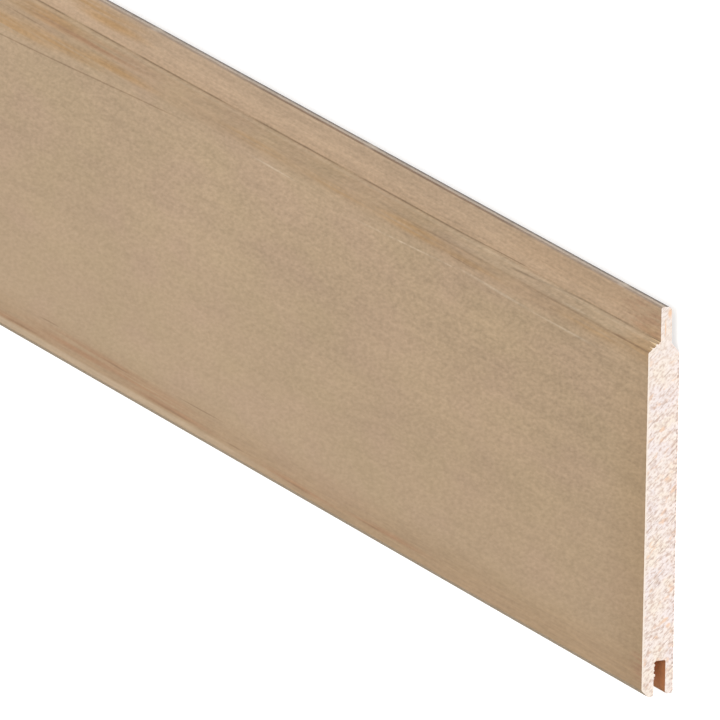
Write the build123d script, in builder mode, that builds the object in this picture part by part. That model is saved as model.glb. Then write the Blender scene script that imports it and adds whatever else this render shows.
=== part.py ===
from build123d import *
import os

# Tongue and groove lining board with bevelled joints: one planed length of softwood.
# It lies on its back. +X runs along the grain, +Y across the board towards the tongue,
# and +Z out of the show face. The origin is under the middle of the board, on the back.
# All sizes are in millimetres.

# The stock
LENGTH = 1800.0
THICKNESS = 12.0
COVER_WIDTH = 127.6  # groove edge to front shoulder: what one board adds to a wall

# The tongue
TONGUE_LENGTH = 12.4  # front shoulder to nose
TONGUE_THICKNESS = 4.2
TONGUE_OFFSET = 0.8  # its middle lies this far behind the middle of the board
NOSE_FRONT_RADIUS = 0.7
NOSE_REAR_RADIUS = 1.7

# The bevelled shoulders beside the tongue
FRONT_BEVEL_RUN = 3.6  # along the show face
REAR_BEVEL_RUN = 3.9  # along the back
REAR_SETBACK = 0.6  # the rear shoulder stands back, so the joint closes first in front

# The groove, which takes the tongue of the next board
SIDE_CLEARANCE = 0.15  # on each side of that tongue
NOSE_CLEARANCE = 0.4  # beyond its nose
GROOVE_FRONT_RADIUS = 1.2  # in the corner towards the show face
GROOVE_REAR_RADIUS = 0.4

# The two lips of the groove
LIP_BEVEL_DEPTH = 2.4  # down from the show face
LIP_BEVEL_RUN = 2.6  # along the show face
BACK_LIP_SETBACK = 0.6
LIP_RADIUS = 0.9

# Rounded corners
ARRIS_RADIUS = 0.5  # where a bevel meets a flat face
ROUND_SHARE = 0.45  # the most of a lip's thickness that one rounded corner takes

# Lines across the board
overall_width = COVER_WIDTH + TONGUE_LENGTH
groove_edge = -overall_width / 2
nose = overall_width / 2
front_shoulder = groove_edge + COVER_WIDTH
rear_shoulder = front_shoulder - REAR_SETBACK
groove_floor = groove_edge + TONGUE_LENGTH + NOSE_CLEARANCE

# Levels above the back
tongue_middle = THICKNESS / 2 - TONGUE_OFFSET
tongue_rear = tongue_middle - TONGUE_THICKNESS / 2
tongue_front = tongue_middle + TONGUE_THICKNESS / 2
groove_rear = tongue_rear - SIDE_CLEARANCE
groove_front = tongue_front + SIDE_CLEARANCE
lip_bevel_foot = THICKNESS - LIP_BEVEL_DEPTH

# Corners of the section that are rounded, as (across, above the back)
nose_front = (nose, tongue_front)
nose_rear = (nose, tongue_rear)
face_arris = (front_shoulder - FRONT_BEVEL_RUN, THICKNESS)
back_arris = (rear_shoulder - REAR_BEVEL_RUN, 0)
lip_arris = (groove_edge + LIP_BEVEL_RUN, THICKNESS)
front_lip_outer = (groove_edge, lip_bevel_foot)
front_lip_inner = (groove_edge, groove_front)
back_lip_outer = (groove_edge + BACK_LIP_SETBACK, 0)
back_lip_inner = (groove_edge + BACK_LIP_SETBACK, groove_rear)
groove_corner_front = (groove_floor, groove_front)
groove_corner_rear = (groove_floor, groove_rear)

front_lip_radius = min(LIP_RADIUS, ROUND_SHARE * (lip_bevel_foot - groove_front))
back_lip_radius = min(LIP_RADIUS, ROUND_SHARE * groove_rear)
rounded_corners = [
    (nose_front, NOSE_FRONT_RADIUS),
    (nose_rear, NOSE_REAR_RADIUS),
    (face_arris, ARRIS_RADIUS),
    (back_arris, ARRIS_RADIUS),
    (lip_arris, ARRIS_RADIUS),
    (front_lip_outer, front_lip_radius),
    (front_lip_inner, front_lip_radius),
    (back_lip_outer, back_lip_radius),
    (back_lip_inner, back_lip_radius),
    (groove_corner_front, GROOVE_FRONT_RADIUS),
    (groove_corner_rear, GROOVE_REAR_RADIUS),
]

# The board: its section runs through the moulding cutters along the whole length
with BuildPart() as board:
    with BuildSketch(Plane.YZ.offset(-LENGTH / 2)) as section:
        with BuildLine():
            Polyline(
                back_lip_outer,
                back_arris,
                (rear_shoulder, tongue_rear),
                nose_rear,
                nose_front,
                (front_shoulder, tongue_front),
                face_arris,
                lip_arris,
                front_lip_outer,
                front_lip_inner,
                groove_corner_front,
                groove_corner_rear,
                back_lip_inner,
                close=True,
            )
        make_face()
        for corner, radius in rounded_corners:
            fillet(section.vertices().sort_by_distance(corner)[0], radius)
    extrude(amount=LENGTH)
board.part.label = "lining_board"

os.makedirs("parts", exist_ok=True)
export_step(board.part, "parts/lining_board.step")
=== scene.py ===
import math
import random

import bmesh
import bpy
from mathutils import Matrix, Vector, noise


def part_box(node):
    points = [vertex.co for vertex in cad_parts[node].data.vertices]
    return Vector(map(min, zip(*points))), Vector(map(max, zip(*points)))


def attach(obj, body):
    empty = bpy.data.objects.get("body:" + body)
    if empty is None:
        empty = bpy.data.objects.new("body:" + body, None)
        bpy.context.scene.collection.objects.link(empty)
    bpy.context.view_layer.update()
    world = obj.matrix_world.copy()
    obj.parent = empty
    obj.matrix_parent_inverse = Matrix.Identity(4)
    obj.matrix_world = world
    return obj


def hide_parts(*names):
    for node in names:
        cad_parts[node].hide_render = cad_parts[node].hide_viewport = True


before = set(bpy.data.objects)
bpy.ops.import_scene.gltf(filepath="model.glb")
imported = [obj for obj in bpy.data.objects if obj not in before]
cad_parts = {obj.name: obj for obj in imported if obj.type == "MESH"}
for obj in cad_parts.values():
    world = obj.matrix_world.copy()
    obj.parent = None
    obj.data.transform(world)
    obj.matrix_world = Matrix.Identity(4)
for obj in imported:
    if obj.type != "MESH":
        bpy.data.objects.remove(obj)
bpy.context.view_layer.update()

scene = bpy.context.scene
MM = 0.001

# The camera
# It looks along the board from past its sawn end, a little above the show face, and is rolled so
# that the tongue edge is uppermost. The very long lens keeps the long edges almost parallel.
board_low, board_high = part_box("lining_board")
towards_camera = Vector((0.8730, 0.2562, 0.4150))
picture_up = Vector((-0.2391, 0.9665, -0.0936))
picture_middle = Vector((board_high.x - 232.9 * MM, -6.0 * MM, board_high.z))
camera_distance = 10.30

camera_data = bpy.data.cameras.new("camera")
camera_data.sensor_width = 36.0
camera_data.lens = 1453.9
camera_data.clip_end = 100.0
camera = bpy.data.objects.new("camera", camera_data)
scene.collection.objects.link(camera)
back_axis = towards_camera.normalized()
right_axis = picture_up.cross(back_axis).normalized()
up_axis = back_axis.cross(right_axis)
camera.matrix_world = (
    Matrix.Translation(picture_middle + camera_distance * back_axis)
    @ Matrix((right_axis, up_axis, back_axis)).transposed().to_4x4()
)
scene.camera = camera

# The moulded stock
# A length of clear softwood planed on both faces. Moulding cutters run the tongue along one edge,
# the groove along the other, and the bevels that meet in a V when two boards are pushed together.
thickness = board_high.z - board_low.z
length = board_high.x - board_low.x
tongue_length = 12.4 * MM
tongue_thickness = 4.2 * MM
tongue_offset = 0.8 * MM
nose_front_radius = 0.7 * MM
nose_rear_radius = 1.7 * MM
front_bevel_run = 3.6 * MM
rear_bevel_run = 3.9 * MM
rear_setback = 0.6 * MM
side_clearance = 0.15 * MM
nose_clearance = 0.4 * MM
groove_front_radius = 1.2 * MM
groove_rear_radius = 0.4 * MM
lip_bevel_depth = 2.4 * MM
lip_bevel_run = 2.6 * MM
back_lip_setback = 0.6 * MM
lip_radius = 0.9 * MM
arris_radius = 0.5 * MM
saw_allowance = 10 * MM

# lines across the board, and levels above its back
groove_edge = board_low.y
nose = board_high.y
front_shoulder = nose - tongue_length
rear_shoulder = front_shoulder - rear_setback
face_arris = front_shoulder - front_bevel_run
back_arris = rear_shoulder - rear_bevel_run
lip_arris = groove_edge + lip_bevel_run
back_lip_edge = groove_edge + back_lip_setback
groove_depth = tongue_length + nose_clearance
groove_floor = groove_edge + groove_depth
tongue_middle = thickness / 2 - tongue_offset
tongue_rear = tongue_middle - tongue_thickness / 2
tongue_front = tongue_middle + tongue_thickness / 2
groove_rear = tongue_rear - side_clearance
groove_front = tongue_front + side_clearance
lip_bevel_foot = thickness - lip_bevel_depth


def near(a, b):
    """True where two lengths are the same to a micrometre."""
    return abs(a - b) < 1e-6


def pick(kind, wanted):
    """In edit mode, selects the verts, edges or faces that pass, and nothing else."""
    bpy.context.tool_settings.mesh_select_mode = [kind == k for k in ("verts", "edges", "faces")]
    bpy.ops.mesh.select_all(action="DESELECT")
    shape = bmesh.from_edit_mesh(bpy.context.object.data)
    shape.normal_update()
    for item in getattr(shape, kind):
        if wanted(item):
            item.select_set(True)
    bmesh.update_edit_mesh(bpy.context.object.data)


def pull_strip(side, low, high, by):
    """Cuts a strip along the side that faces this way along Y, and pulls it out or pushes it in."""
    for level in (low, high):
        pick("faces", lambda f: f.normal.y * side > 0.9)
        bpy.ops.mesh.bisect(plane_co=(0, 0, level), plane_no=(0, 0, 1))
    pick("faces", lambda f: f.normal.y * side > 0.9 and low < f.calc_center_median().z < high)
    bpy.ops.mesh.extrude_region_move(TRANSFORM_OT_translate={"value": (0, by, 0)})


def shift_line(across, above, by):
    """Moves the long line at this place of the section across the board."""
    pick("verts", lambda v: near(v.co.y, across) and near(v.co.z, above))
    bpy.ops.transform.translate(value=(0, by, 0))


def round_line(across, above, radius, segments):
    """Rounds the long edge at this place of the section."""
    pick("edges", lambda e: all(near(v.co.y, across) and near(v.co.z, above) for v in e.verts))
    shape = bmesh.from_edit_mesh(bpy.context.object.data)
    turn = next(e for e in shape.edges if e.select).calc_face_angle()
    bpy.ops.mesh.bevel(offset=radius * math.tan(turn / 2), segments=segments, affect="EDGES")


bpy.ops.object.select_all(action="DESELECT")
bpy.ops.mesh.primitive_cube_add(size=1)
board = bpy.context.object
board.name = board.data.name = "planed_board"
bpy.ops.object.mode_set(mode="EDIT")
stock_length = length + 2 * saw_allowance
bpy.ops.transform.resize(value=(stock_length, front_shoulder - groove_edge, thickness))
bpy.ops.transform.translate(value=(0, (groove_edge + front_shoulder) / 2, thickness / 2))

pull_strip(1, tongue_rear, tongue_front, tongue_length)
pull_strip(-1, groove_rear, groove_front, groove_depth)
pick("faces", lambda f: f.normal.y < -0.9 and f.calc_center_median().z > groove_front)
bpy.ops.mesh.bisect(plane_co=(0, 0, lip_bevel_foot), plane_no=(0, 0, 1))
pick("faces", lambda f: abs(f.normal.x) > 0.9)
bpy.ops.mesh.delete(type="FACE")

shift_line(front_shoulder, thickness, -front_bevel_run)
shift_line(front_shoulder, 0, -rear_setback - rear_bevel_run)
shift_line(front_shoulder, tongue_rear, -rear_setback)
shift_line(groove_edge, thickness, lip_bevel_run)
for level in (0, groove_rear):
    shift_line(groove_edge, level, back_lip_setback)

round_line(nose, tongue_front, nose_front_radius, 5)
round_line(nose, tongue_rear, nose_rear_radius, 8)
round_line(face_arris, thickness, arris_radius, 4)
round_line(back_arris, 0, arris_radius, 4)
round_line(lip_arris, thickness, arris_radius, 4)
round_line(groove_edge, lip_bevel_foot, lip_radius, 5)
round_line(groove_edge, groove_front, lip_radius, 6)
round_line(back_lip_edge, 0, lip_radius, 6)
round_line(back_lip_edge, groove_rear, lip_radius, 6)
round_line(groove_floor, groove_front, groove_front_radius, 6)
round_line(groove_floor, groove_rear, groove_rear_radius, 4)

# plain ends, until they are sawn
for side in (-1, 1):
    pick("edges", lambda e: all(near(v.co.x, side * stock_length / 2) for v in e.verts))
    bpy.ops.mesh.edge_face_add()
bpy.ops.mesh.select_all(action="SELECT")
bpy.ops.mesh.normals_make_consistent(inside=False)
bpy.ops.object.mode_set(mode="OBJECT")

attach(board, "root")
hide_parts("lining_board")

# The planed wood
# Bare pale pine, fresh from the planing knives: a fine mottled figure, faint long streaks, amber and
# pinkish flecks along both edges, and painted shade in the corner at the tongue's root.
face_colour = (184, 158, 128)
tongue_colour = (187, 160, 132)
tongue_root_colour = (203, 174, 144)
olive_colour = (181, 159, 123)
rosy_colour = (186, 155, 133)
dull_end_colour = (163, 135, 101)
edge_colour = (168, 136, 103)
amber_colour = (181, 144, 100)
russet_colour = (172, 133, 101)
brown_line_colour = (136, 108, 80)
pale_line_colour = (214, 195, 168)
root_shade_colour = (100, 75, 52)
lip_shade_colour = (140, 123, 95)
tear_colour = (164, 124, 96)

# marks on the show face, in millimetres: from the shown end, across, half length, half width
amber_patches = [
    (190, 51.4, 44, 3.2), (445, 50.4, 50, 2.8), (490, 48.6, 60, 3.6), (535, 46.4, 60, 4.2),
    (505, 55.8, 50, 3.0), (4, 57.0, 28, 9.0),
]
faint_amber_patches = [
    (150, 50.8, 44, 2.0), (44, 51.8, 44, 2.6), (256, 51.2, 40, 2.0), (322, 51.2, 44, 2.2),
]
tongue_patches = [(474, 66.6, 66, 3.4), (456, 63.6, 44, 3.2)]
russet_patches = [
    (438, -60.5, 100, 3.8), (392, -63.4, 56, 2.0), (470, -62.0, 60, 2.4), (530, -64.0, 60, 2.0),
    (285, -64.4, 50, 1.8), (210, -63.6, 48, 1.8), (462, 54.8, 70, 1.8),
]
brown_lines = [
    (391, -63.8, 26, 0.7), (438, -59.4, 17, 0.55), (366, -57.3, 27, 0.40), (496, -57.2, 12, 0.45),
    (520, -64.4, 20, 0.6), (336, -63.8, 11, 0.5), (285, -64.9, 18, 0.6), (222, -64.1, 16, 0.55),
    (152, 49.6, 16, 0.35), (499, 57.0, 18, 0.40), (520, 52.0, 26, 0.40), (23, 53.9, 8, 0.60),
]
pale_lines = [
    (308, 45.8, 26, 0.60), (124, 46.6, 44, 0.80), (70, 46.3, 40, 0.80), (62, 55.0, 14, 0.45),
]
# past the photograph's edge they come again, in reverse order
marked_length = 600 * MM
# how far two growth rings drift across the board along its length
dark_ring_slope = 0.0335
pale_ring_slope = 0.0290


def srgb(colour):
    """A colour of 0 to 255, as a picture shows it, in the linear values that a shader takes."""
    return tuple(((c / 255 + 0.055) / 1.055) ** 2.4 for c in colour) + (1,)


def put(tree, kind, sockets, **settings):
    """Adds a shader node. Each of its sockets takes a value, or the output of another node."""
    node = tree.nodes.new("ShaderNode" + kind)
    for name, value in settings.items():
        setattr(node, name, value)
    for name, value in sockets.items():
        if isinstance(value, bpy.types.NodeSocket):
            tree.links.new(value, node.inputs[name])
        else:
            node.inputs[name].default_value = value
    return node


def maths(tree, operation, first, second=0.0):
    """One step of arithmetic."""
    return put(tree, "Math", {0: first, 1: second}, operation=operation).outputs[0]


def ramp(tree, value, start, stop):
    """0 where the value is at start, rising smoothly to 1 where it is at stop."""
    ends = {"Value": value, "From Min": start, "From Max": stop}
    return put(tree, "MapRange", ends, interpolation_type="SMOOTHSTEP").outputs[0]


def share(tree, *masks):
    """What several masks leave when they lie over each other."""
    left = masks[0]
    for mask in masks[1:]:
        left = maths(tree, "MULTIPLY", left, mask)
    return left


def tint(tree, mask, under, over):
    """Lays a colour over another, as strongly as the mask says."""
    return put(tree, "Mix", {0: mask, 6: under, 7: over}, data_type="RGBA").outputs[2]


def line(tree, value, centre, half_width):
    """A thin line where the value is at the centre."""
    away = maths(tree, "ABSOLUTE", maths(tree, "SUBTRACT", value, centre))
    return ramp(tree, away, half_width, 0.3 * half_width)


def shader_group(name, inputs, outputs):
    """A node group with these named sockets. Gives the group, what comes in and what goes out."""
    group = bpy.data.node_groups.new(name, "ShaderNodeTree")
    for way, sockets in (("INPUT", inputs), ("OUTPUT", outputs)):
        for socket, kind in sockets.items():
            group.interface.new_socket(name=socket, in_out=way, socket_type="NodeSocket" + kind)
    coming = group.nodes.new("NodeGroupInput").outputs
    going = group.nodes.new("NodeGroupOutput").inputs
    return group, coming, going


# the tone of wood fibres of any size, about a half on average
fibre_tone, coming, going = shader_group(
    "fibre_tone", {"Place": "Vector", "Along": "Float", "Across": "Float", "Detail": "Float"},
    {"Tone": "Float"})
fibre_size = put(fibre_tone, "CombineXYZ", {0: coming["Along"], 1: coming["Across"], 2: coming["Across"]})
in_fibres = put(
    fibre_tone, "VectorMath", {0: coming["Place"], 1: fibre_size.outputs[0]}, operation="DIVIDE")
fibre_noise = put(fibre_tone, "TexNoise", {
    "Vector": in_fibres.outputs[0], "Scale": 1.0, "Detail": coming["Detail"], "Roughness": 0.55})
fibre_tone.links.new(fibre_noise.outputs[0], going["Tone"])


def fibres(tree, place, along, across, detail=2.0):
    """The tone of fibres of this length and width, in millimetres."""
    sockets = {"Place": place, "Along": along * MM, "Across": across * MM, "Detail": detail}
    return put(tree, "Group", sockets, node_tree=fibre_tone).outputs["Tone"]


# planed or moulded wood seen along its grain: mottle, then fibres, long streaks and clouds, each with
# its length and width in millimetres and its weight
long_grain, coming, going = shader_group(
    "long_grain", {"Place": "Vector", "Wood": "Color", "Contrast": "Float", "Streaky": "Float"},
    {"Colour": "Color", "Height": "Float"})
slanted = put(
    long_grain, "Mapping", {"Vector": coming["Place"], "Rotation": (0, 0, math.radians(-12))}).outputs[0]
mottle = fibres(long_grain, slanted, 2.9, 1.06)
straight = maths(long_grain, "SUBTRACT", 1.0, maths(long_grain, "MULTIPLY", coming["Streaky"], 0.5))
fibrous = maths(long_grain, "ADD", maths(long_grain, "MULTIPLY", coming["Streaky"], 0.34), 0.12)
figure = maths(long_grain, "MULTIPLY", maths(long_grain, "SUBTRACT", mottle, 0.5), 0.47)
figure = maths(long_grain, "MULTIPLY", figure, straight)
for along, across, weight in ((14, 0.9, fibrous), (150, 3.6, 0.14), (60, 24, 0.16)):
    tone = maths(long_grain, "SUBTRACT", fibres(long_grain, coming["Place"], along, across, 1.0), 0.5)
    figure = maths(long_grain, "ADD", maths(long_grain, "MULTIPLY", tone, weight), figure)
figure = maths(long_grain, "MULTIPLY", figure, coming["Contrast"])
figure = maths(long_grain, "ADD", figure, 1.0)
figured = put(long_grain, "VectorMath", {0: coming["Wood"], 3: figure}, operation="SCALE")
long_grain.links.new(figured.outputs[0], going["Colour"])
long_grain.links.new(maths(long_grain, "SUBTRACT", mottle, 0.5), going["Height"])

# a mark that tapers out along the grain: how far out of it a point is, with 1 at its edge
mark, coming, going = shader_group(
    "mark", {"Place": "Vector", "Centre": "Vector", "Half Size": "Vector"}, {"Far Out": "Float"})
from_centre = put(mark, "VectorMath", {0: coming["Place"], 1: coming["Centre"]}, operation="SUBTRACT")
in_mark = put(mark, "VectorMath", {0: from_centre.outputs[0], 1: coming["Half Size"]}, operation="DIVIDE")
mark_length = put(mark, "VectorMath", {0: in_mark.outputs[0]}, operation="LENGTH")
mark.links.new(mark_length.outputs["Value"], going["Far Out"])


def marks(tree, place, spots, above, reach_through):
    """One soft mask for a list of marks at a level of the board."""
    far_out = 1.0
    for from_end, across, half_length, half_width in spots:
        sockets = {
            "Place": place,
            "Centre": (from_end * MM, across * MM, above),
            "Half Size": (half_length * MM, half_width * MM, reach_through),
        }
        spot = put(tree, "Group", sockets, node_tree=mark).outputs["Far Out"]
        far_out = maths(tree, "MINIMUM", spot, far_out)
    return ramp(tree, far_out, 1.0, 0.1)


def bare_wood(name):
    """A new material with a dull surface. Gives it, its tree, its shader and the place on the board."""
    material = bpy.data.materials.new(name)
    material.use_nodes = True
    shader = material.node_tree.nodes["Principled BSDF"]
    shader.inputs["Specular IOR Level"].default_value = 0.25
    place = put(material.node_tree, "TexCoord", {}).outputs["Object"]
    return material, material.node_tree, shader, place


def nearer_end(tree, along):
    """How far a place is from the nearer end of the board."""
    return maths(tree, "SUBTRACT", length / 2, maths(tree, "ABSOLUTE", along))


def shown_end(tree, along):
    """How far a place is from the shown end, to and fro within the marked length."""
    return maths(tree, "PINGPONG", maths(tree, "SUBTRACT", length / 2, along), marked_length)


def finish_wood(tree, shader, colour, height, depth, dull, duller):
    """Links a wood's colour and relief to its shader. High places are a little smoother than low ones."""
    tree.links.new(colour, shader.inputs["Base Color"])
    roughness = put(tree, "MapRange", {"Value": height, "From Min": -0.2, "From Max": 0.2,
                                       "To Min": duller, "To Max": dull}).outputs[0]
    tree.links.new(roughness, shader.inputs["Roughness"])
    bump = put(tree, "Bump", {"Strength": 1.0, "Distance": depth, "Height": height})
    tree.links.new(bump.outputs["Normal"], shader.inputs["Normal"])


def finish_long_grain(tree, shader, place, wood, contrast, streaky, depth, dull, duller):
    """Figures a wood's colour along the grain, and links it to its shader."""
    sockets = {"Place": place, "Wood": wood, "Contrast": contrast, "Streaky": streaky}
    grain = put(tree, "Group", sockets, node_tree=long_grain).outputs
    finish_wood(tree, shader, grain["Colour"], grain["Height"], depth, dull, duller)


planed_pine, tree, shader, place = bare_wood("planed_pine")
along, across, above = put(tree, "SeparateXYZ", {0: place}).outputs
from_end = nearer_end(tree, along)
front = ramp(tree, above, 5.6 * MM, 7.0 * MM)

# broad olive and rosy clouds, a paler tongue, browner wood beside both edges and duller wood at the ends
clouds = fibres(tree, place, 48, 18, 1.0)
wood = tint(tree, share(tree, ramp(tree, clouds, 0.50, 0.68), 0.22), srgb(face_colour), srgb(olive_colour))
wood = tint(tree, share(tree, ramp(tree, clouds, 0.50, 0.32), 0.22), wood, srgb(rosy_colour))
on_tongue = share(tree, ramp(tree, across, front_shoulder, front_shoulder + 0.6 * MM), front)
wood = tint(tree, share(tree, on_tongue, 0.9), wood, srgb(tongue_colour))
by_root = share(tree, on_tongue, ramp(tree, across, 67.5 * MM, 62 * MM), 0.5)
wood = tint(tree, by_root, wood, srgb(tongue_root_colour))
by_nose = share(tree, on_tongue, ramp(tree, across, 60 * MM, 63.5 * MM),
                ramp(tree, from_end, 140 * MM, 100 * MM), 0.28)
wood = tint(tree, by_nose, wood, srgb(edge_colour))
under_bevel = share(tree, ramp(tree, across, 47 * MM, 50.5 * MM),
                    ramp(tree, across, 54.5 * MM, 53.5 * MM), 0.30)
above_lip = share(tree, ramp(tree, across, -50 * MM, -65 * MM), 0.48)
wood = tint(tree, maths(tree, "MAXIMUM", under_bevel, above_lip), wood, srgb(edge_colour))
dull_end = maths(tree, "ADD", share(tree, ramp(tree, from_end, 420 * MM, 0), 0.22),
                 share(tree, ramp(tree, from_end, 40 * MM, 0), ramp(tree, across, 80 * MM, 0), 0.40))
wood = tint(tree, dull_end, wood, srgb(dull_end_colour))

# amber and russet patches, drawn out into streaks that wander a little
wander = maths(tree, "MULTIPLY", maths(tree, "SUBTRACT", fibres(tree, place, 120, 60, 0.0), 0.5), 3.0 * MM)
from_shown_end = shown_end(tree, along)
marked_place = put(
    tree, "CombineXYZ", {0: from_shown_end, 1: maths(tree, "ADD", across, wander), 2: above}).outputs[0]
streaks = fibres(tree, place, 100, 1.5, 1.0)
through = 9 * MM
amber = maths(tree, "MAXIMUM", marks(tree, marked_place, amber_patches, thickness, through),
              marks(tree, marked_place, tongue_patches, tongue_front, through))
faint_amber = marks(tree, marked_place, faint_amber_patches, thickness, through)
amber = maths(tree, "MAXIMUM", amber, share(tree, faint_amber, 0.55))
amber = share(tree, amber, ramp(tree, streaks, 0.24, 0.56), 0.95)
wood = tint(tree, amber, wood, srgb(amber_colour))
russet = marks(tree, marked_place, russet_patches, thickness, through)
russet = share(tree, russet, ramp(tree, streaks, 0.66, 0.44), 0.85)
wood = tint(tree, russet, wood, srgb(russet_colour))

# two growth rings that leave the surface at a low angle, one dark and one pale, and shorter lines
along_ring = maths(tree, "MULTIPLY", maths(tree, "SUBTRACT", from_end, 400 * MM), dark_ring_slope)
dark_place = maths(tree, "ADD", maths(tree, "ADD", across, along_ring),
                   maths(tree, "MULTIPLY", wander, 0.4))
dark_ring = share(tree, line(tree, dark_place, 44.9 * MM, 0.40 * MM), front,
                  ramp(tree, from_end, 380 * MM, 410 * MM), ramp(tree, from_end, 720 * MM, 560 * MM))
brown = maths(tree, "MAXIMUM", dark_ring, marks(tree, marked_place, brown_lines, thickness, through))
wood = tint(tree, share(tree, brown, 0.55), wood, srgb(brown_line_colour))
along_ring = maths(tree, "MULTIPLY", maths(tree, "SUBTRACT", from_end, 165 * MM), pale_ring_slope)
pale_ring = share(tree, line(tree, maths(tree, "ADD", across, along_ring), 46.1 * MM, 0.42 * MM), front,
                  ramp(tree, from_end, 140 * MM, 175 * MM), ramp(tree, from_end, 260 * MM, 195 * MM),
                  ramp(tree, fibres(tree, place, 9, 9, 1.0), 0.25, 0.60))
pale = share(tree, marks(tree, marked_place, pale_lines, thickness, through),
             ramp(tree, streaks, 0.30, 0.60))
wood = tint(tree, share(tree, maths(tree, "MAXIMUM", pale, pale_ring), 0.5), wood, srgb(pale_line_colour))

# the arris of the bevel, in stretches, and painted shade in the tongue's root corner, which starts anew
# once
arris_stretch = maths(tree, "MAXIMUM", ramp(tree, from_end, 230 * MM, 190 * MM), share(
    tree, ramp(tree, from_end, 255 * MM, 275 * MM), ramp(tree, from_end, 330 * MM, 300 * MM)))
arris_line = share(tree, line(tree, across, face_arris + 0.15 * MM, 0.34 * MM), front, arris_stretch)
arris_share = maths(tree, "ADD", share(tree, ramp(tree, streaks, 0.30, 0.60), 0.34),
                    share(tree, ramp(tree, from_end, 32 * MM, 24 * MM), 0.45))
wood = tint(tree, share(tree, arris_line, arris_share), wood, srgb(brown_line_colour))
# painted shade: a dark line along the concave corner at the tongue's root, in two stretches
far_stray = maths(tree, "MULTIPLY", ramp(tree, from_end, 165 * MM, 112 * MM), 0.55 * MM)
far_root = share(tree, line(tree, maths(tree, "SUBTRACT", across, far_stray), front_shoulder, 0.33 * MM),
                 ramp(tree, from_end, 106 * MM, 113 * MM))
near_stray = maths(tree, "MULTIPLY", ramp(tree, from_end, 52 * MM, 120 * MM), 1.5 * MM)
near_root = share(tree, line(tree, maths(tree, "ADD", across, near_stray), front_shoulder, 0.33 * MM),
                  ramp(tree, from_end, 122 * MM, 112 * MM))
root_shade = share(tree, maths(tree, "MAXIMUM", far_root, near_root), front,
                  ramp(tree, fibres(tree, place, 30, 30, 0.0), 0.20, 0.55))
wood = tint(tree, share(tree, root_shade, 0.46), wood, srgb(root_shade_colour))
# painted highlight: a pale line on the bevel just beside the tongue's root
root_painted_highlight = share(tree, line(tree, across, front_shoulder - 0.75 * MM, 0.5 * MM), front)
wood = tint(tree, share(tree, root_painted_highlight, 0.18), wood, srgb(pale_line_colour))

# russet tears where the saw broke out, pale edges, painted highlights, and painted shade on the lip's
# bevel
torn = ramp(tree, fibres(tree, place, 12, 1.1), 0.40, 0.60)
low_tears = share(tree, ramp(tree, across, -52 * MM, -57 * MM), ramp(tree, across, -66 * MM, -62 * MM),
                  ramp(tree, from_end, 12 * MM, 1 * MM))
tongue_tears = share(tree, on_tongue, ramp(tree, from_end, 50 * MM, 4 * MM), 0.7)
tears = maths(tree, "MAXIMUM", low_tears, tongue_tears)
wood = tint(tree, share(tree, tears, torn, 0.7), wood, srgb(tear_colour))
end_line = ramp(tree, from_end, 0.9 * MM, 0.2 * MM)
wood = tint(tree, share(tree, end_line, 0.4), wood, srgb(tear_colour))
tongue_edge = share(tree, line(tree, across, nose - 1.0 * MM, 0.6 * MM), front)
wood = tint(tree, share(tree, tongue_edge, 0.08), wood, srgb(pale_line_colour))
# painted highlight: a paler bevel within 200 mm of the ends
bevel_painted_highlight = share(tree, ramp(tree, across, face_arris, face_arris + 1.0 * MM), front,
                   ramp(tree, across, front_shoulder + 0.3 * MM, front_shoulder - 0.3 * MM),
                   ramp(tree, from_end, 200 * MM, 140 * MM), 0.20)
wood = tint(tree, bevel_painted_highlight, wood, srgb(pale_line_colour))
# painted highlight: a pale band along the lip's arris, more than 260 mm from the ends
lip_painted_highlight = share(tree, line(tree, across, -66.2 * MM, 1.8 * MM), front,
                  ramp(tree, from_end, 260 * MM, 400 * MM), 0.34)
wood = tint(tree, lip_painted_highlight, wood, srgb(pale_line_colour))
# painted shade on the lip's bevel
on_lip = share(tree, ramp(tree, across, lip_arris + 0.2 * MM, lip_arris - 0.5 * MM), front)
wood = tint(tree, share(tree, on_lip, 0.7), wood, srgb(lip_shade_colour))

contrast = maths(tree, "ADD", maths(tree, "MULTIPLY", ramp(tree, across, -70 * MM, 60 * MM), 0.6),
                 maths(tree, "SUBTRACT", 0.78, share(tree, ramp(tree, from_end, 80 * MM, 460 * MM), 0.20)))
streaky = maths(tree, "MAXIMUM", share(tree, ramp(tree, across, 34 * MM, 54 * MM), 0.5),
                share(tree, ramp(tree, across, -50 * MM, -63 * MM), 0.95))
finish_long_grain(tree, shader, place, wood, contrast, streaky, depth=0.05 * MM, dull=0.52, duller=0.68)
board.data.materials.append(planed_pine)

# The groove's walls
# The groove is ploughed by a narrow cutter that runs warm and rubs, so its walls are browner than the
# faces. Near the sawn ends they are painted a lighter warm brown, a painted light against the shade inside
# the groove, and a darker brown at the mouth, a painted shade. Painted shade also darkens the walls next
# to the groove's floor and the back lip's inner corner.
groove_colour = (214, 170, 128)
groove_painted_light_colour = (234, 174, 124)
groove_mouth_shade_colour = (178, 119, 76)
groove_shade_colour = (128, 84, 54)

groove_wood, tree, shader, place = bare_wood("groove_wood")
along, across, _ = put(tree, "SeparateXYZ", {0: place}).outputs
# painted shade next to the groove's floor and in the back lip's inner corner
deep = ramp(tree, across, groove_floor - 1.8 * MM, groove_floor - 0.5 * MM)
at_lip = ramp(tree, across, back_lip_edge + 1.9 * MM, back_lip_edge + 0.8 * MM)
from_end = nearer_end(tree, along)
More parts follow.
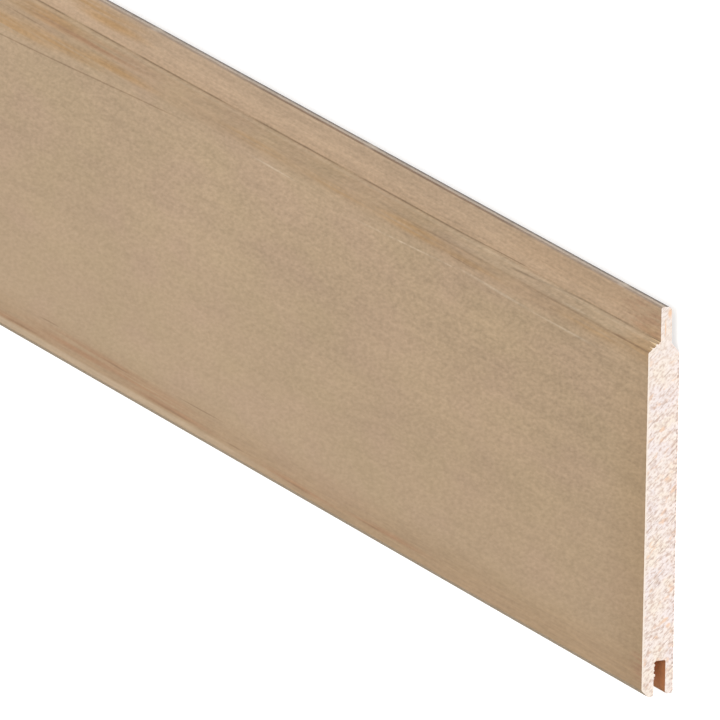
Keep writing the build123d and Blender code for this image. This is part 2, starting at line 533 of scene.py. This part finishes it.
# painted light within 24 mm of the ends, where the groove lies in shade, and painted shade at the mouth
wood = tint(tree, ramp(tree, from_end, 24 * MM, 10 * MM), srgb(groove_colour), srgb(groove_painted_light_colour))
wood = tint(tree, ramp(tree, from_end, 10 * MM, 0), wood, srgb(groove_mouth_shade_colour))
wood = tint(tree, share(tree, maths(tree, "MAXIMUM", deep, at_lip), 0.3), wood, srgb(groove_shade_colour))
finish_long_grain(
    tree, shader, place, wood, contrast=0.4, streaky=1.0, depth=0.08 * MM, dull=0.6, duller=0.75)
board.data.materials.append(groove_wood)


def in_groove(face):
    """True for the walls and the floor of the groove."""
    middle = face.calc_center_median()
    within = groove_edge + 0.5 * MM < middle.y < groove_floor + 0.1 * MM
    return within and groove_rear - 0.1 * MM < middle.z < groove_front + 0.1 * MM


bpy.ops.object.select_all(action="DESELECT")
bpy.context.view_layer.objects.active = board
bpy.ops.object.mode_set(mode="EDIT")
pick("faces", lambda f: abs(f.normal.x) < 0.5 and in_groove(f))
board.active_material_index = 1
bpy.ops.object.material_slot_assign()
bpy.ops.object.mode_set(mode="OBJECT")

# The nose of the tongue
# The tongue's narrow edge is handled most and rubs on its neighbours, so it has greyed, with a brown
# bruise along its front corner. Painted shade makes a slate line along its rear corner, which faces the
# floor.
nose_colour = (199, 180, 161)
bruise_colour = (132, 104, 80)
rear_shade_colour = (118, 107, 100)
chip_colour = (222, 206, 186)
# pale chips, measured as the marks on the show face are
nose_chips = [(33, 69.6, 5, 1.2), (240, 69.6, 8, 1.0), (420, 69.6, 6, 1.0)]

nose_wood, tree, shader, place = bare_wood("nose_wood")
along, across, above = put(tree, "SeparateXYZ", {0: place}).outputs
from_shown_end = shown_end(tree, along)
marked_place = put(tree, "CombineXYZ", {0: from_shown_end, 1: across, 2: above}).outputs[0]
bruise_stretch = maths(tree, "MAXIMUM", ramp(tree, from_shown_end, 150 * MM, 90 * MM),
                       ramp(tree, from_shown_end, 300 * MM, 360 * MM))
bruise_stretch = maths(tree, "SUBTRACT", 0.85, maths(tree, "MULTIPLY", bruise_stretch, 0.28))
bruise = share(tree, line(tree, above, tongue_front - 0.25 * MM, 0.6 * MM), bruise_stretch)
wood = tint(tree, bruise, srgb(nose_colour), srgb(bruise_colour))
# painted shade along the rear corner of the nose, which turns towards the floor
rear_shade = ramp(tree, above, tongue_rear + 2.7 * MM, tongue_rear + 1.8 * MM)
wood = tint(tree, share(tree, rear_shade, 0.9), wood, srgb(rear_shade_colour))
chips = marks(tree, marked_place, nose_chips, tongue_middle, 3 * MM)
wood = tint(tree, share(tree, chips, 0.6), wood, srgb(chip_colour))
finish_long_grain(
    tree, shader, place, wood, contrast=1.2, streaky=1.0, depth=0.05 * MM, dull=0.5, duller=0.66)
board.data.materials.append(nose_wood)

bpy.ops.object.mode_set(mode="EDIT")
pick("faces", lambda f: f.normal.y > 0.2 and f.calc_center_median().y > nose - 0.9 * MM)
board.active_material_index = 2
bpy.ops.object.material_slot_assign()
bpy.ops.object.mode_set(mode="OBJECT")

# The saw cuts
# A saw cuts the moulded stock square to length. Its teeth leave slanting scores and pits in the pale
# end grain, and where they break out of the wood they tear a few fibres loose and open short splits.
end_colour = (255, 243, 235)
cool_cell_colour = (252, 241, 238)
cream_cell_colour = (255, 242, 228)
resin_colour = (247, 208, 176)
stroke_colour = (214, 188, 174)
tick_colour = (178, 150, 136)
front_rim_colour = (254, 241, 226)
back_rim_colour = (172, 148, 132)
torn_colour = (240, 213, 172)
split_colour = (166, 132, 94)
score_lean = math.radians(46)
score_length = 3.2 * MM
score_width = 0.9 * MM
score_depth = 0.10 * MM
score_layer = 40.0
pit_size = 0.95 * MM
pit_depth = 0.12 * MM
pit_layer = 70.0
end_margin = 3 * MM
end_cell = 0.45 * MM

# end grain: scores that lean across the board, pits, resin and cooler patches
end_grain, tree, shader, place = bare_wood("end_grain")
along, across, above = put(tree, "SeparateXYZ", {0: place}).outputs
lean = (0, math.cos(score_lean), -math.sin(score_lean))
square = (0, math.sin(score_lean), math.cos(score_lean))
on_score = put(tree, "VectorMath", {0: place, 1: lean}, operation="DOT_PRODUCT").outputs["Value"]
off_score = put(tree, "VectorMath", {0: place, 1: square}, operation="DOT_PRODUCT").outputs["Value"]
scored = put(tree, "CombineXYZ", {0: on_score, 1: off_score, 2: along}).outputs[0]
stroke_tone = fibres(tree, scored, 1.6, 0.85)
pit_tone = fibres(tree, scored, 1.0, 0.8)
tick_tone = fibres(tree, scored, 9.0, 0.6)
resin_tone = fibres(tree, scored, 5.0, 2.4)
cell_tone = fibres(tree, place, 7, 7)
colour = tint(tree, ramp(tree, cell_tone, 0.50, 0.60), srgb(end_colour), srgb(cool_cell_colour))
colour = tint(tree, ramp(tree, cell_tone, 0.48, 0.36), colour, srgb(cream_cell_colour))
colour = tint(tree, share(tree, ramp(tree, resin_tone, 0.57, 0.70), 0.75), colour, srgb(resin_colour))
colour = tint(tree, share(tree, ramp(tree, stroke_tone, 0.40, 0.74), 0.9), colour, srgb(stroke_colour))
colour = tint(tree, share(tree, ramp(tree, pit_tone, 0.54, 0.76), 0.42), colour, srgb(tick_colour))
colour = tint(tree, share(tree, ramp(tree, tick_tone, 0.60, 0.70), 0.62), colour, srgb(tick_colour))
by_tongue = share(tree, ramp(tree, across, 30 * MM, 62 * MM), 0.35)
colour = tint(tree, by_tongue, colour, srgb(front_rim_colour))

# a resin streak in the tongue, as height, place across, half height and half width in millimetres
resin_streak = [(4.0, 67.6, 1.1, 2.8), (5.6, 62.5, 0.4, 4.5)]
on_end = put(tree, "CombineXYZ", {0: above, 1: across}).outputs[0]
colour = tint(tree, marks(tree, on_end, resin_streak, 0, 1), colour, srgb(resin_colour))
front_rim = ramp(tree, above, thickness - 0.9 * MM, thickness - 0.3 * MM)
colour = tint(tree, share(tree, front_rim, 0.8), colour, srgb(front_rim_colour))
back_rim = share(tree, ramp(tree, above, 1.0 * MM, 0.3 * MM), ramp(tree, pit_tone, 0.46, 0.62))
colour = tint(tree, share(tree, back_rim, 0.75), colour, srgb(back_rim_colour))
end_height = maths(tree, "MULTIPLY", maths(tree, "ADD", stroke_tone, pit_tone), -0.2)
finish_wood(tree, shader, colour, end_height, 0.3 * MM, 0.8, 0.8)

# torn fibres, pale and stringy, and the dim wood inside a split
torn_wood, tree, shader, place = bare_wood("torn_wood")
finish_long_grain(tree, shader, place, srgb(torn_colour), contrast=1.0, streaky=1.0,
                  depth=0.1 * MM, dull=0.7, duller=0.8)
split_wood, tree, shader, place = bare_wood("split_wood")
finish_long_grain(tree, shader, place, srgb(split_colour), contrast=1.4, streaky=1.0,
                  depth=0.1 * MM, dull=0.7, duller=0.8)


def add_spike(end, across, above, radius, reach):
    """Adds a thin spike along the grain, from past an end of the board to a point inside it."""
    bpy.ops.object.select_all(action="DESELECT")
    depth = reach + saw_allowance / 2
    bpy.ops.mesh.primitive_cone_add(
        vertices=6, radius1=radius * depth / reach, radius2=0, depth=depth,
        location=(end * (length / 2 - reach + depth / 2), across, above),
        rotation=(0, -end * math.pi / 2, 0))
    bpy.ops.object.transform_apply(location=True, rotation=True, scale=True)
    return bpy.context.object


def work_in(tools, operation, surface):
    """Joins tools to the board or takes them from it. Each leaves its own surface there."""
    bpy.ops.object.select_all(action="DESELECT")
    for tool in tools:
        tool.select_set(True)
        bpy.context.view_layer.objects.active = tool
    bpy.ops.object.join()
    tool = bpy.context.object
    tool.data.materials.append(surface)
    bpy.context.view_layer.objects.active = board
    cut = board.modifiers.new("cut", "BOOLEAN")
    cut.operation = operation
    cut.solver = "EXACT"
    cut.use_self = True
    cut.material_mode = "TRANSFER"
    cut.object = tool
    bpy.ops.object.modifier_apply(modifier=cut.name)
    bpy.data.objects.remove(tool)


# as distance from the groove's floor or share of the bevel's height, radius and reach in millimetres
wall_fibres = ((1.5, 0.60, 9), (2.6, 0.30, 6), (3.4, 0.45, 8), (5.2, 0.66, 10), (6.4, 0.30, 6))
bevel_fibres = ((0.06, 0.18, 9), (0.30, 0.46, 7), (0.62, 0.32, 3.2))
bevel_splits = ((0.17, 0.14, 5), (0.50, 0.20, 6), (0.85, 0.16, 8))
draw = random.Random(12)
fibres_out = []
splits = []
for end in (1, -1):
    for from_floor, radius, reach in wall_fibres:
        wall = groove_front + draw.uniform(0.0, 0.12) * MM
        fibres_out.append(add_spike(end, groove_floor - from_floor * MM, wall, radius * MM, reach * MM))
    bevel_slope = (thickness - tongue_front) / front_bevel_run
    for up_bevel, radius, reach in bevel_fibres:
        fibres_out.append(add_spike(
            end, front_shoulder - up_bevel * front_bevel_run + 0.05 * MM,
            tongue_front + up_bevel * front_bevel_run * bevel_slope, radius * MM, reach * MM))
    for up_bevel, radius, reach in bevel_splits:
        splits.append(add_spike(
            end, front_shoulder - up_bevel * front_bevel_run + 0.10 * MM,
            tongue_front + up_bevel * front_bevel_run * bevel_slope, radius * MM, reach * MM))
work_in(splits, "DIFFERENCE", split_wood)
work_in(fibres_out, "UNION", torn_wood)


def saw_mark(across, above, end):
    """How far below the end's plane the teeth cut at one place. Each end has its own layers of noise."""
    on_score = across * math.cos(score_lean) - above * math.sin(score_lean)
    off_score = across * math.sin(score_lean) + above * math.cos(score_lean)
    score = noise.noise(Vector((on_score / score_length, off_score / score_width, score_layer * end)))
    pit = noise.noise(Vector((across / pit_size, above / pit_size, pit_layer * end)))
    return score_depth * max(0.0, 0.5 + score) + pit_depth * max(0.0, pit - 0.1)


bpy.ops.object.select_all(action="DESELECT")
block_width = nose - groove_edge + 2 * end_margin
block_height = thickness + 2 * end_margin
bpy.ops.mesh.primitive_grid_add(
    x_subdivisions=round(block_height / end_cell), y_subdivisions=round(block_width / end_cell), size=1,
    location=(board_low.x, 0, thickness / 2), rotation=(0, math.pi / 2, 0))
kept_length = bpy.context.object
kept_length.scale = (block_height, block_width, 1)
bpy.ops.object.transform_apply(location=True, rotation=True, scale=True)
bpy.ops.object.mode_set(mode="EDIT")
bpy.ops.mesh.select_all(action="SELECT")
bpy.ops.mesh.extrude_region_move(TRANSFORM_OT_translate={"value": (length, 0, 0)})
bpy.ops.mesh.select_all(action="SELECT")
bpy.ops.mesh.normals_make_consistent(inside=False)
bpy.ops.object.mode_set(mode="OBJECT")
for vertex in kept_length.data.vertices:
    end = math.copysign(1, vertex.co.x)
    vertex.co.x -= end * saw_mark(vertex.co.y, vertex.co.z, end)
# flat facets, which the cut keeps clean along the rims
bpy.ops.object.mode_set(mode="EDIT")
bpy.ops.mesh.select_all(action="SELECT")
bpy.ops.mesh.quads_convert_to_tris()
bpy.ops.object.mode_set(mode="OBJECT")
work_in([kept_length], "INTERSECT", end_grain)

bpy.ops.object.select_all(action="DESELECT")
board.select_set(True)
bpy.ops.object.shade_smooth_by_angle(angle=math.radians(32))

# The floor
# A plain pale sheet that the board lies on. It keeps the board's soft shadow.
floor_size = 60.0
floor_glow = 0.68
bpy.ops.object.select_all(action="DESELECT")
bpy.ops.mesh.primitive_plane_add(size=floor_size, location=(0, 0, 0))
floor = bpy.context.object
floor.name = "floor"
floor_paint = bpy.data.materials.new("floor_paint")
floor_paint.use_nodes = True
tree = floor_paint.node_tree
shader = tree.nodes["Principled BSDF"]
shader.inputs["Base Color"].default_value = (0.65, 0.65, 0.65, 1)
shader.inputs["Roughness"].default_value = 0.9
shader.inputs["Emission Color"].default_value = (1, 1, 1, 1)
ray = put(tree, "LightPath", {}).outputs
mirrored = maths(tree, "MAXIMUM", ray["Is Glossy Ray"], ray["Is Transmission Ray"])
seen = maths(tree, "MAXIMUM", ray["Is Camera Ray"], mirrored)
tree.links.new(maths(tree, "MULTIPLY", seen, floor_glow), shader.inputs["Emission Strength"])
floor.data.materials.append(floor_paint)

# The light
# An even pale sky all round, and one broad soft lamp from beyond the sawn end on the tongue's side.
world = bpy.data.worlds.new("even_sky")
world.use_nodes = True
world.node_tree.nodes["Background"].inputs["Color"].default_value = (1, 1, 1, 1)
world.node_tree.nodes["Background"].inputs["Strength"].default_value = 0.63
scene.world = world

lamp_data = bpy.data.lights.new("soft_lamp", "SUN")
lamp_data.energy = 1.6
lamp_data.angle = math.radians(50)
lamp = bpy.data.objects.new("soft_lamp", lamp_data)
lamp.rotation_euler = Vector((0.80, 0.25, 0.80)).to_track_quat("Z", "Y").to_euler()
scene.collection.objects.link(lamp)

scene.view_settings.view_transform = "Standard"
